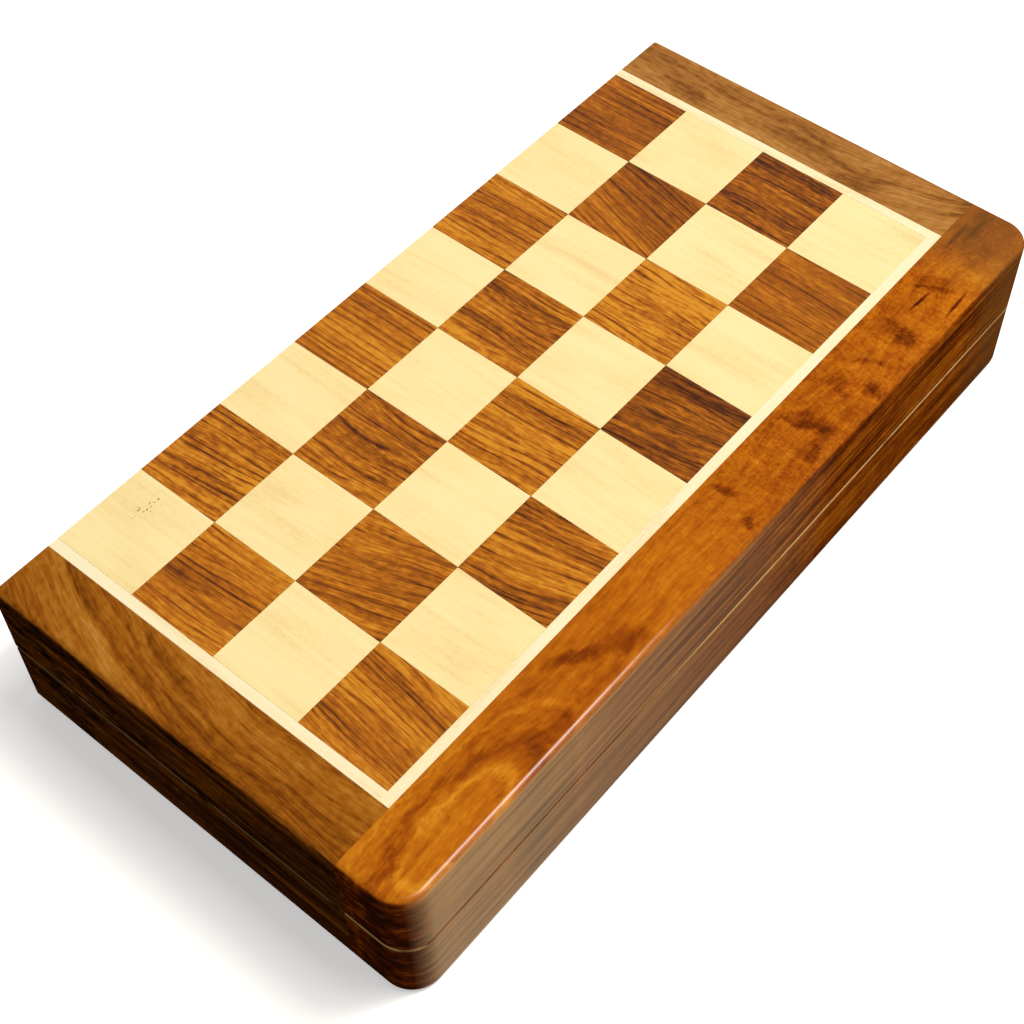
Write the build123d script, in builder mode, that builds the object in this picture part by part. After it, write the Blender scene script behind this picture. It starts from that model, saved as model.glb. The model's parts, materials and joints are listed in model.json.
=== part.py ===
from build123d import *
import os
from dataclasses import dataclass
from math import atan2, cos, degrees, radians, sin

# A folding chess set. The case opens like a book about one long edge, and the outer faces of
# its halves are the two halves of the board. Inside, the men lie in slotted pads.
# X runs along the hinge, the hinge is at +Y, the front at -Y, and the closed case lies on Z = 0.

# The board, in millimetres
square_side = 32.0
columns = 8
rows_in_half = 4
hinge_row_trim = 1.4  # what the row beside the hinge loses to the folding joint
square_gap = 0.06  # hair line between neighbouring squares
stringing_width = 3.5
end_border = 20.5
front_border = 23.2
inlay_thickness = 1.5  # squares and stringing alike

# The case
closed_height = 56.0
rim_gap = 0.3  # between the closed halves, and between the hinge edges when they lie flat
wall_thickness = 10.0
hinge_wall = 12.0
core_thickness = 4.0
border_lap = 5.0  # how far the borders reach over the core panel
corner_radius = 10.0
edge_radius = 2.5
rim_easing = 0.7

# The hinges
hinge_spacing = 190.0
leaf_length = 25.0
leaf_reach = 9.0
leaf_thickness = 1.0
leaf_clearance = 0.15
knuckle_radius = 1.6
knuckle_gap = 0.3  # round the knuckles and between them
middle_knuckle = 9.4
pin_radius = 0.8
pin_clearance = 0.05
screw_spacing = 15.0
screw_head_radius = 2.1
screw_shank_radius = 1.0
screw_tip_radius = 0.4
screw_length = 8.0
pilot_clearance = 0.05

# The closing magnets, one pair near each front corner
magnet_length = 10.0
magnet_width = 4.0
magnet_depth = 3.0
magnet_spacing = 240.0
magnet_clearance = 0.1

# The pads, their slots and the lining under them
pad_clearance = 0.25
lining_thickness = 1.2
pad_below_rim = 0.8
slot_clearance = 0.8
slot_margin = 9.0  # pad left between a slot and the long wall beside it
rest_gap = 0.1  # between a lying man and the lining

# The men: height and base diameter
king_height, king_base = 60.0, 20.0
queen_height, queen_base = 54.0, 19.0
bishop_height, bishop_base = 47.0, 18.0
knight_height, knight_base = 42.0, 18.0
rook_height, rook_base = 38.0, 18.0
pawn_height, pawn_base = 32.0, 16.4
horse_thickness = 8.0
horse_easing = 1.2
crenel_width = 2.6
crenel_depth = 2.5
mitre_slit = 1.0
cross_width = 6.0
cross_bar = 2.0
flats = 12  # flat sides that stand for each turned round

# What follows from the sizes above
board_length = columns * square_side
hinge_row = square_side - hinge_row_trim
board_width = rows_in_half * square_side - hinge_row_trim
case_length = board_length + 2 * (stringing_width + end_border)
case_width = board_width + stringing_width + front_border
half_height = (closed_height - rim_gap) / 2
parting_height = closed_height / 2
axis_offset = rim_gap / 2
front = -(case_width + axis_offset + knuckle_radius) / 2
back = front + case_width
axis_y = back + axis_offset
inner_front = front + front_border
core_bottom = inlay_thickness
core_top = core_bottom + core_thickness
end = case_length / 2
hollow_end = end - wall_thickness
core_end = end - end_border + border_lap
plate_bottom = half_height - leaf_thickness
plate_edge = axis_y - knuckle_radius - knuckle_gap
hinges = {"left": -hinge_spacing / 2, "right": hinge_spacing / 2}
screw_xs = [x + side * screw_spacing / 2 for x in hinges.values() for side in (-1, 1)]
screw_y = (back - leaf_reach + plate_edge) / 2
parting_plane = Plane.XY.offset(parting_height)
halves = ("lower", "upper")

os.makedirs("parts", exist_ok=True)


def block(x_low, x_high, y_low, y_high, z_low, z_high, mode=Mode.ADD):
    """A square-edged block between the given faces."""
    with Locations((x_low, y_low, z_low)):
        Box(x_high - x_low, y_high - y_low, z_high - z_low, align=Align.MIN, mode=mode)


def turn(outline):
    """A turned piece, with flats for the round, from the heights and radii of its outline."""
    with BuildPart() as turned:
        for height, radius in outline:
            with BuildSketch(Plane.XY.offset(height)):
                RegularPolygon(radius, flats)
        loft(ruled=True)
    return Solid(Shell([Face(side.outer_wire()) for side in turned.faces()]))


def keep(piece, name, half="lower"):
    """Name a finished piece and write its file. Pieces are drawn as the lower half has them."""
    if half == "upper":
        piece = mirror(piece, about=parting_plane)
    piece.label = name
    export_step(piece, f"parts/{name}.step")


# Front rail: a solid bar across the front, cut away inside to a wall and a flange.
with BuildPart() as front_rail:
    block(-end, end, front, inner_front, 0, half_height)
    fillet(front_rail.edges().filter_by(Axis.Z).group_by(Axis.Y)[0], corner_radius)
    fillet(front_rail.edges().group_by(Axis.Z)[0].sort_by(Axis.Y)[:-1], edge_radius)
    chamfer(front_rail.edges().group_by(Axis.Z)[-1].sort_by(Axis.Y)[:-1], rim_easing)
    block(-hollow_end, hollow_end, front + wall_thickness, inner_front, core_top, half_height, Mode.SUBTRACT)
    block(-core_end, core_end, inner_front - border_lap, inner_front, core_bottom, core_top, Mode.SUBTRACT)
    magnet_y = front + wall_thickness / 2
    with Locations((-magnet_spacing / 2, magnet_y, half_height), (magnet_spacing / 2, magnet_y, half_height)):
        Box(
            magnet_length + 2 * magnet_clearance,
            magnet_width + 2 * magnet_clearance,
            2 * magnet_depth,
            mode=Mode.SUBTRACT,
        )

with BuildPart() as magnets:
    with Locations((-magnet_spacing / 2, magnet_y, half_height), (magnet_spacing / 2, magnet_y, half_height)):
        Box(magnet_length, magnet_width, magnet_depth, align=(Align.CENTER, Align.CENTER, Align.MAX))

for half in halves:
    keep(front_rail.part, f"{half}_front_rail", half)
    keep(magnets.part, f"{half}_closing_magnets", half)

# End rails: they butt against the front rail and run to the hinge edge.
for side_name, side in (("left", -1), ("right", 1)):
    with BuildPart() as end_rail:
        block(end - end_border, end, inner_front, back, 0, half_height)
        outer_edges = end_rail.edges().filter_by(Axis.Y).group_by(Axis.X)[-1].sort_by(Axis.Z)
        fillet(outer_edges[0], edge_radius)
        outer_edges = end_rail.edges().filter_by(Axis.Y).group_by(Axis.X)[-1].sort_by(Axis.Z)
        chamfer(outer_edges[-1], rim_easing)
        block(end - end_border, hollow_end, inner_front, back, core_top, half_height, Mode.SUBTRACT)
        block(end - end_border, core_end, inner_front, back, core_bottom, core_top, Mode.SUBTRACT)
        if side < 0:
            mirror(about=Plane.YZ, mode=Mode.REPLACE)
    for half in halves:
        keep(end_rail.part, f"{half}_{side_name}_end_rail", half)

# Hinge screws: countersunk wood screws. Their outline is drawn with the point at the origin.
def screw_shape(clearance=0):
    """A screw, or with a clearance the hole that it fills."""
    return turn(
        (
            (0, screw_tip_radius + clearance),
            (screw_length - leaf_thickness, screw_shank_radius + clearance),
            (screw_length, screw_head_radius + clearance),
        )
    )


screw = screw_shape()
pilot_hole = screw_shape(pilot_clearance)
screw_places = [(x, screw_y, half_height - screw_length) for x in screw_xs]
with BuildPart() as hinge_screws:
    with Locations(*screw_places):
        add(screw)

# Hinge rail: the wall under the hinge edge, let in for the leaves and their knuckles.
recess_half = leaf_length / 2 + leaf_clearance
with BuildPart() as hinge_rail:
    block(-hollow_end, hollow_end, back - hinge_wall, back, core_top, half_height)
    block(-core_end, core_end, back - border_lap, back, core_bottom, core_top)
    for hinge_x in hinges.values():
        x_low, x_high = hinge_x - recess_half, hinge_x + recess_half
        y_low = back - leaf_reach - leaf_clearance
        block(x_low, x_high, y_low, back, plate_bottom, half_height, Mode.SUBTRACT)
        with BuildSketch(Plane.YZ.offset(hinge_x)):
            with Locations((axis_y, parting_height)):
                Circle(knuckle_radius + knuckle_gap)
        extrude(amount=recess_half, both=True, mode=Mode.SUBTRACT)
    with Locations(*screw_places):
        add(pilot_hole, mode=Mode.SUBTRACT)

# Core panel: plywood under the squares, its edges covered by the borders.
with BuildPart() as core_panel:
    block(-core_end, core_end, inner_front - border_lap, back - border_lap, core_bottom, core_top)

for half in halves:
    keep(hinge_rail.part, f"{half}_hinge_rail", half)
    keep(hinge_screws.part, f"{half}_hinge_screws", half)
    keep(core_panel.part, f"{half}_core_panel", half)

# Squares: the two halves have opposite patterns, so that the opened board alternates.
for half in halves:
    for colour in ("dark", "light"):
        first = (half == "upper") == (colour == "dark")
        places = [(i, j) for i in range(columns) for j in range(rows_in_half) if (i + j) % 2 == first]
        with BuildPart() as squares:
            with BuildSketch():
                for column, row in places:
                    x = (column + 0.5) * square_side - board_length / 2
                    depth = square_side if row else hinge_row
                    y = back - hinge_row - (row - 0.5) * square_side if row else back - hinge_row / 2
                    with Locations((x, y)):
                        Rectangle(square_side - square_gap, depth - square_gap)
            extrude(amount=inlay_thickness)
        keep(squares.part, f"{half}_{colour}_squares", half)

# Stringing: the front line runs through, and the side lines butt against it.
stringing_end = board_length / 2 + stringing_width
with BuildPart() as front_stringing:
    block(-stringing_end, stringing_end, inner_front, inner_front + stringing_width, 0, inlay_thickness)

with BuildPart() as side_stringings:
    for x_low in (-stringing_end, board_length / 2):
        block(x_low, x_low + stringing_width, inner_front + stringing_width, back, 0, inlay_thickness)

for half in halves:
    keep(front_stringing.part, f"{half}_front_stringing", half)
    keep(side_stringings.part, f"{half}_side_stringings", half)

# Hinge leaves: the lower leaf has the two outer knuckles, the upper leaf the middle one, and a
# pin runs through all three.
outer_start = middle_knuckle / 2 + knuckle_gap
knuckle_spans = {
    "lower": ((-leaf_length / 2, -outer_start), (outer_start, leaf_length / 2)),
    "upper": ((-middle_knuckle / 2, middle_knuckle / 2),),
}
for side_name, hinge_x in hinges.items():
    for half, spans in knuckle_spans.items():
        with BuildPart() as leaf:
            x_low, x_high = hinge_x - leaf_length / 2, hinge_x + leaf_length / 2
            block(x_low, x_high, back - leaf_reach, plate_edge, plate_bottom, half_height)
            for start, stop in spans:
                block(hinge_x + start, hinge_x + stop, plate_edge, axis_y, plate_bottom, half_height)
                with BuildSketch(Plane.YZ.offset(hinge_x + start)):
                    with Locations((axis_y, parting_height)):
                        Circle(knuckle_radius)
                extrude(amount=stop - start)
            with BuildSketch(Plane.YZ.offset(hinge_x)):
                with Locations((axis_y, parting_height)):
                    Circle(pin_radius + pin_clearance)
            extrude(amount=leaf_length, both=True, mode=Mode.SUBTRACT)
            with Locations(*screw_places):
                add(pilot_hole, mode=Mode.SUBTRACT)
        keep(leaf.part, f"{half}_{side_name}_hinge_leaf", half)

    with BuildPart() as pin:
        with BuildSketch(Plane.YZ.offset(hinge_x)):
            with Locations((axis_y, parting_height)):
                Circle(pin_radius)
        extrude(amount=leaf_length / 2, both=True)
    keep(pin.part, f"{side_name}_hinge_pin")


# Men: each is turned on a round foot and drawn standing on the origin. An outline gives shares
# of the height and of the base radius, foot first.
@dataclass
class Man:
    height: float
    base: float
    outline: tuple
    slots: tuple  # places in its row of slots, from the left
    head_radius: float = 0  # where something thicker than the outline's end rests on the lining
    shape: Part = None

    @property
    def lean(self):
        """How far a lying man dips, in degrees, with its foot and its head on the lining."""
        points = [(a * self.height, r * self.base / 2) for a, r in self.outline[2:]]
        points.append((self.height, self.head_radius or points[-1][1]))
        return min(degrees(atan2(self.base / 2 - r, a - self.foot)) for a, r in points)

    @property
    def foot(self):
        """The height of the foot's straight edge."""
        return self.outline[1][0] * self.height

    @property
    def rise(self):
        """How high the middle of the base lies above the lining."""
        return self.base / 2 * cos(radians(self.lean)) + self.foot * sin(radians(self.lean))

    @property
    def overhang(self):
        """How far the base's low edge lies behind the middle of the base."""
        return self.base / 2 * sin(radians(self.lean))

    @property
    def lying_length(self):
        return self.height * cos(radians(self.lean)) + 2 * self.overhang


pawn_foot = ((0, 1), (0.11, 1), (0.2, 0.7), (0.32, 0.46))
pawn_outline = pawn_foot + ((0.52, 0.34), (0.57, 0.66), (0.63, 0.38), (0.74, 0.61), (0.89, 0.58), (1, 0.24))
rook_outline = ((0, 1), (0.1, 1), (0.25, 0.64), (0.68, 0.48), (0.74, 0.74), (1, 0.74))
knight_outline = ((0, 1), (0.09, 1), (0.22, 0.62), (0.3, 0.76))
bishop_foot = ((0, 1), (0.08, 1), (0.16, 0.68), (0.28, 0.46))
bishop_outline = bishop_foot + ((0.48, 0.35), (0.52, 0.64), (0.57, 0.38), (0.73, 0.56), (0.92, 0.18), (1, 0.16))
queen_foot = ((0, 1), (0.07, 1), (0.14, 0.68), (0.26, 0.46))
queen_outline = queen_foot + ((0.52, 0.33), (0.56, 0.64), (0.61, 0.38), (0.88, 0.64), (0.92, 0.3), (1, 0.16))
king_foot = ((0, 1), (0.06, 1), (0.13, 0.68), (0.25, 0.46))
king_outline = king_foot + ((0.5, 0.35), (0.54, 0.66), (0.59, 0.4), (0.82, 0.64), (0.87, 0.24))

men = {
    "rook": Man(rook_height, rook_base, rook_outline, (0, 7)),
    "knight": Man(knight_height, knight_base, knight_outline, (1, 6), head_radius=horse_thickness / 2),
    "bishop": Man(bishop_height, bishop_base, bishop_outline, (2, 5)),
    "queen": Man(queen_height, queen_base, queen_outline, (3,)),
    "king": Man(king_height, king_base, king_outline, (4,)),
    "pawn": Man(pawn_height, pawn_base, pawn_outline, tuple(range(columns))),
}
for man in men.values():
    man.shape = turn([(a * man.height, r * man.base / 2) for a, r in man.outline])

# Rook: two cuts across the top leave four merlons.
with BuildPart() as rook:
    add(men["rook"].shape)
    with Locations((0, 0, rook_height)):
        Box(rook_base, crenel_width, 2 * crenel_depth, mode=Mode.SUBTRACT)
        Box(crenel_width, rook_base, 2 * crenel_depth, mode=Mode.SUBTRACT)
men["rook"].shape = rook.part

# Knight: a horse's head sawn from the flat, in shares of the base radius and of the height.
horse_outline = (
    (-0.62, 0.28),
    (-0.74, 0.58),
    (-0.58, 0.79),
    (-0.18, 0.92),
    (0.04, 1),
    (0.24, 0.9),
    (0.84, 0.75),
    (0.92, 0.65),
    (0.6, 0.62),
    (0.27, 0.68),
    (0.3, 0.57),
    (0.66, 0.28),
)
with BuildPart() as horse:
    with BuildSketch(Plane.XZ):
        with BuildLine():
            Polyline(*[(a * knight_base / 2, b * knight_height) for a, b in horse_outline], close=True)
        make_face()
    extrude(amount=horse_thickness / 2, both=True)
    sawn_edges = horse.edges().filter_by(Axis.Y, reverse=True)
    chamfer(sawn_edges, horse_easing)

with BuildPart() as knight:
    add(men["knight"].shape)
    add(horse.part)
men["knight"].shape = knight.part

# Bishop: a slanting cut in the mitre.
with BuildPart() as bishop:
    add(men["bishop"].shape)
    with Locations(Location((bishop_base / 4, 0, 0.82 * bishop_height), (0, -50, 0))):
        Box(bishop_base / 2, bishop_base, mitre_slit, mode=Mode.SUBTRACT)
men["bishop"].shape = bishop.part

# King: a cross on the crown.
with BuildPart() as king:
    add(men["king"].shape)
    cross_foot = king_outline[-1][0] * king_height
    cross_height = king_height - cross_foot
    with Locations((0, 0, cross_foot + cross_height / 2)):
        Box(cross_bar, cross_bar, cross_height)
    with Locations((0, 0, cross_foot + 0.6 * cross_height)):
        Box(cross_width, cross_bar, cross_bar)
men["king"].shape = king.part

# Lining: one sheet on the core panel, on which the pads and the men lie.
hinge_side = back - hinge_wall
front_side = front + wall_thickness
pad_end = hollow_end - pad_clearance
slot_floor = core_top + lining_thickness
with BuildPart() as lining:
    block(-pad_end, pad_end, front_side + pad_clearance, hinge_side - pad_clearance, core_top, slot_floor)
for half in halves:
    keep(lining.part, f"{half}_pad_lining", half)

# Pads: the officers' slots start at the hinge wall and the pawns' at the front wall, so all
# the bases lie along the long walls. Each slot is cut to its man, right through the pad.
slot_pitch = 2 * hollow_end / columns
pad_split = hinge_side - 2 * slot_margin - men["king"].lying_length - 2 * slot_clearance
pads = {
    "officer": (hinge_side, -1, pad_split + pad_clearance, hinge_side - pad_clearance),
    "pawn": (front_side, 1, front_side + pad_clearance, pad_split - pad_clearance),
}
man_colour = {"lower": "light", "upper": "dark"}

for pad_name, (wall_y, inward, y_low, y_high) in pads.items():
    row_of_men = {name: man for name, man in men.items() if (name == "pawn") == (pad_name == "pawn")}
    slot_y = wall_y + inward * slot_margin
    with BuildPart() as pad:
        block(-pad_end, pad_end, y_low, y_high, slot_floor, half_height - pad_below_rim)
        for man in row_of_men.values():
            slot_length = man.lying_length + 2 * slot_clearance
            slot_width = man.base + 2 * slot_clearance
            for slot in man.slots:
                x = (slot + 0.5) * slot_pitch - hollow_end
                with Locations((x, slot_y + inward * slot_length / 2)):
                    Box(slot_width, slot_length, closed_height, mode=Mode.SUBTRACT)
    for half in halves:
        keep(pad.part, f"{half}_{pad_name}_pad", half)

    for name, man in row_of_men.items():
        base_y = slot_y + inward * (slot_clearance + man.overhang)
        base_z = slot_floor + rest_gap + man.rise
        roll = -inward * (90 + man.lean)
        with BuildPart() as lying_men:
            for slot in man.slots:
                x = (slot + 0.5) * slot_pitch - hollow_end
                with Locations(Location((x, base_y, base_z), (roll, 0, 0))):
                    add(man.shape)
        plural = "s" if len(man.slots) > 1 else ""
        for half in halves:
            keep(lying_men.part, f"{man_colour[half]}_{name}{plural}", half)
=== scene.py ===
import json
from math import asin, atan2, cos, floor, pi, radians, sin

import bmesh
import bpy
from mathutils import Matrix, Vector
from mathutils.geometry import interpolate_bezier


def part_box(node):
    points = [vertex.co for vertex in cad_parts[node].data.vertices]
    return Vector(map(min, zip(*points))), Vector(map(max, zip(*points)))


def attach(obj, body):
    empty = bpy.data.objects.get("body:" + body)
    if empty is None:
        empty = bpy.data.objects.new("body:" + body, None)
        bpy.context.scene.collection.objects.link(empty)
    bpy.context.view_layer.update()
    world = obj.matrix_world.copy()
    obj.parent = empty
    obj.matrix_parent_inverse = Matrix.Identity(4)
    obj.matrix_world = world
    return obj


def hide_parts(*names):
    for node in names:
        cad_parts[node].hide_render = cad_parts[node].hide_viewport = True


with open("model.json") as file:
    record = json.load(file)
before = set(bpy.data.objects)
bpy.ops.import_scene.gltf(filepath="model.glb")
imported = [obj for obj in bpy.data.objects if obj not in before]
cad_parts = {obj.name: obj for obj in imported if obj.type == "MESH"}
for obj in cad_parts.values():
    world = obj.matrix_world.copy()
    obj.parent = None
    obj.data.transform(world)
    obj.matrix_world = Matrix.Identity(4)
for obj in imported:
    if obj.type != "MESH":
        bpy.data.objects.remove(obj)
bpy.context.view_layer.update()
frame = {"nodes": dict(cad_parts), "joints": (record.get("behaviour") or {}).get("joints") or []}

# Camera, lamps and table. The closed case lies on a pale table and is seen from above its near
# front corner. A broad softbox hangs high on the right, so the left end is in its own shade, and
# a narrow one below it draws the thin gleam along the front edge.
mm = 0.001
camera_data = bpy.data.cameras.new("camera")
camera_data.lens = 63.37
camera_data.shift_x, camera_data.shift_y = -0.0247, -0.0056
camera = bpy.data.objects.new("camera", camera_data)
camera.location = Vector((-268.3, -222.6, 469.0)) * mm
camera.rotation_euler = [radians(turn) for turn in (36.736, 0.647, -50.421)]
bpy.context.scene.collection.objects.link(camera)
bpy.context.scene.camera = camera
bpy.context.scene.view_settings.view_transform = "Standard"


def linear(code):
    """The linear colour of an sRGB hex value."""
    parts = [int(code[i : i + 2], 16) / 255 for i in (0, 2, 4)]
    return [p / 12.92 if p <= 0.04045 else ((p + 0.055) / 1.055) ** 2.4 for p in parts] + [1.0]


def add_node(owner, kind, inputs=(), stops=(), give=None, **settings):
    """Adds a node with its settings and colour stops, and gives an output.

    Its inputs are filled or linked in their order, or by name or number from a dict.
    """
    made = owner.node_tree.nodes.new("ShaderNode" + kind)
    for name, value in settings.items():
        setattr(made, name, value)
    for i, (position, code) in enumerate(stops):
        stop = made.color_ramp.elements[i] if i < 2 else made.color_ramp.elements.new(position)
        stop.position, stop.color = position, linear(code)
    for key, value in inputs.items() if isinstance(inputs, dict) else enumerate(inputs):
        by_name = (s for s in made.inputs if s.name == key and s.enabled)
        socket = made.inputs[key] if isinstance(key, int) else next(by_name)
        if isinstance(value, bpy.types.NodeSocket):
            owner.node_tree.links.new(value, socket)
        else:
            socket.default_value = value
    return made.outputs[give] if give else next((s for s in made.outputs if s.enabled), made)


def multiplied(owner, *factors):
    """The product of several patterns and numbers."""
    product = factors[0]
    for factor in factors[1:]:
        product = add_node(owner, "Math", (product, factor), operation="MULTIPLY")
    return product


def new_material(name):
    """A material with no nodes yet."""
    made = bpy.data.materials.new(name)
    made.use_nodes = True
    made.node_tree.nodes.clear()
    return made


def as_object(shape, name):
    """The object of a mesh. The mesh in hand is used up."""
    mesh = bpy.data.meshes.new(name)
    shape.to_mesh(mesh)
    shape.free()
    made = bpy.data.objects.new(name, mesh)
    bpy.context.scene.collection.objects.link(made)
    return made


def seen_white(owner):
    """1 for the rays of the camera and of mirrors and glass, which see a white studio."""
    ray = add_node(owner, "LightPath").node
    total = 0.0
    for name in ("Is Camera Ray", "Is Glossy Ray", "Is Transmission Ray"):
        total = add_node(owner, "Math", (ray.outputs[name], total), operation="ADD")
    return total


world = bpy.data.worlds.new("studio")
world.use_nodes = True
world.node_tree.nodes.clear()
bpy.context.scene.world = world
fill_light = add_node(world, "Background", {"Color": linear("FFFDF8"), "Strength": 0.3})
white_wall = add_node(world, "Background", {"Color": linear("FFFFFF"), "Strength": 1.0})
sky = add_node(world, "MixShader", (seen_white(world), fill_light, white_wall))
add_node(world, "OutputWorld", {"Surface": sky})


def softbox(name, place, width, depth, energy):
    """A lamp with a flat front that faces the case."""
    data = bpy.data.lights.new(name, "AREA")
    data.shape, data.size, data.size_y = "RECTANGLE", width, depth
    data.energy, data.color = energy, linear("FFFAF0")[:3]
    lamp = bpy.data.objects.new(name, data)
    lamp.location = place
    beam = -Vector(place).normalized()
    tip = asin(beam.y)
    lamp.rotation_euler = (tip, asin(-beam.x / cos(tip)), 0)
    bpy.context.scene.collection.objects.link(lamp)


softbox("broad_softbox", place=(0.5, -0.54, 1.9), width=0.9, depth=0.9, energy=21.0)
softbox("narrow_softbox", place=(0.35, -0.37, 1.2), width=0.3, depth=0.09, energy=5.0)

# Matt white paper. What it throws back on the case is held down, as if it were a small sheet, and
# it looks brighter than it is lit, so that only the case's own soft shadow marks it. It is clear
# from beneath and to light that starts within touching distance, so the lower board shows there.
half_table = 6.0
table_drop = 0.05 * mm
touching_distance = 0.5 * mm
glow_edge, glow_rim = 0.5, 2.0  # the glow grows between these distances from the case
paper = new_material("matt white paper")
plain_paper = add_node(paper, "BsdfDiffuse", {"Color": linear("FAFAFA")})
dim_paper = add_node(paper, "BsdfDiffuse", {"Color": linear("8C8C8B")})
both_papers = add_node(paper, "MixShader", (seen_white(paper), dim_paper, plain_paper))
seen = add_node(paper, "LightPath", give="Is Camera Ray")
spot = add_node(paper, "TexCoord", give="Object")
away = add_node(paper, "VectorMath", (spot,), give="Value", operation="LENGTH")
spread = add_node(paper, "MapRange", (away, glow_edge, glow_rim, 0.4, 0.9))
lift = multiplied(paper, seen, spread)
glow = add_node(paper, "Emission", {"Color": linear("FFFFFF"), "Strength": lift})
shown_paper = add_node(paper, "AddShader", (both_papers, glow))
from_beneath = add_node(paper, "NewGeometry", give="Backfacing")
ray_length = add_node(paper, "LightPath", give="Ray Length")
touching = add_node(paper, "Math", (ray_length, touching_distance), operation="LESS_THAN")
open_to = add_node(paper, "Math", (from_beneath, touching), operation="MAXIMUM")
clear = add_node(paper, "BsdfTransparent")
one_sided = add_node(paper, "MixShader", (open_to, shown_paper, clear))
add_node(paper, "OutputMaterial", {"Surface": one_sided})
table_shape = bmesh.new()
bmesh.ops.create_grid(table_shape, x_segments=1, y_segments=1, size=half_table)
bmesh.ops.translate(table_shape, vec=(0, 0, -table_drop), verts=table_shape.verts)
table = as_object(table_shape, "table")
table.data.materials.append(paper)

# Front rails. Each is one bar of sheesham across the front of its half, planed flat, rounded at
# the corners and along the playing face, and cut away inside to a wall and a flange.
halves = ("lower", "upper")
rail_low, rail_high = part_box("lower_front_rail")
end, front, inner_front, half_height = rail_high.x, rail_low.y, rail_high.y, rail_high.z
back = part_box("lower_left_end_rail")[1].y
closed_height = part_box("upper_front_rail")[1].z
hollow_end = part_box("lower_hinge_rail")[1].x
wall = end - hollow_end
core_low, core_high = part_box("lower_core_panel")
corner_radius = 10 * mm
edge_radius = 2.5 * mm
rim_easing = 0.7 * mm
arris = 0.12 * mm
spare = 0.5 * mm  # how far a cutting tool runs past what it cuts
hair = 0.01 * mm  # two places closer than this are one
magnet_low, magnet_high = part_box("lower_closing_magnets")
magnet_length = 10 * mm
magnet_play = 0.1 * mm


def block(low, high, shape=None):
    """A square-edged block between two corners, by itself or added to a shape."""
    shape = bmesh.new() if shape is None else shape
    low, high = Vector(low), Vector(high)
    verts = bmesh.ops.create_cube(shape, size=1)["verts"]
    bmesh.ops.scale(shape, vec=high - low, verts=verts)
    bmesh.ops.translate(shape, vec=(low + high) / 2, verts=verts)
    return shape


def ease(shape, edges, radius, segments=2):
    """Rounds some edges, or with one segment cuts them to a chamfer."""
    how = {"segments": segments, "profile": 0.5, "affect": "EDGES", "material": -1}
    bmesh.ops.bevel(shape, geom=list(edges), offset=radius, **how)


def edges_at(shape, axis, place):
    """The edges that lie at one place along an axis."""
    return {e for e in shape.edges if all(abs(v.co[axis] - place) < hair for v in e.verts)}


def combine(shape, tools, operation="DIFFERENCE"):
    """Takes the tools away from a shape, or with UNION joins them to it."""
    work = as_object(shape, "work")
    others = [as_object(tool, "tool") for tool in tools]
    for other in others:
        step = work.modifiers.new("cut", "BOOLEAN")
        step.operation, step.solver, step.object = operation, "MANIFOLD", other
    result = bmesh.new()
    result.from_object(work, bpy.context.evaluated_depsgraph_get())
    for used in (work, *others):
        bpy.data.objects.remove(used)
    return result


def turn_over(shape):
    """Moves a piece of the lower half to its place in the upper half."""
    bmesh.ops.scale(shape, vec=(1, 1, -1), verts=shape.verts)
    bmesh.ops.translate(shape, vec=(0, 0, closed_height), verts=shape.verts)
    bmesh.ops.reverse_faces(shape, faces=shape.faces)


def finish(shape, half, name, materials, stands_for, easing=0.0, sharp=35):
    """Makes the finished piece of a half, with its edges eased and its rounds smooth."""
    if half == "upper":
        turn_over(shape)
    piece = as_object(shape, name)
    piece.data.shade_smooth()
    piece.data.set_sharp_from_angle(angle=radians(sharp))
    for material in materials:
        piece.data.materials.append(material)
    if easing:
        bevel = piece.modifiers.new("eased edges", "BEVEL")
        bevel.width, bevel.segments = easing, 2
        bevel.limit_method, bevel.angle_limit = "ANGLE", radians(50)
    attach(piece, f"{half}_half")
    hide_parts(*stands_for)
    return piece


def fibres(wood, place, across, along, kind="TexNoise", give=None, **pattern):
    """A pattern drawn out along the grain, which is Y. Across and along are the size of its flecks."""
    spacing = (1 / across, 1 / along, 1 / across)
    drawn = add_node(wood, "VectorMath", (place, spacing), operation="MULTIPLY")
    return add_node(wood, kind, {"Vector": drawn, "Scale": 1.0, **pattern}, give=give)


def add_up(wood, start, *terms):
    """A start value plus each pattern times its weight."""
    total = start
    for pattern, weight in terms:
        total = add_node(wood, "Math", (pattern, weight, total), operation="MULTIPLY_ADD")
    return total


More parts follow.
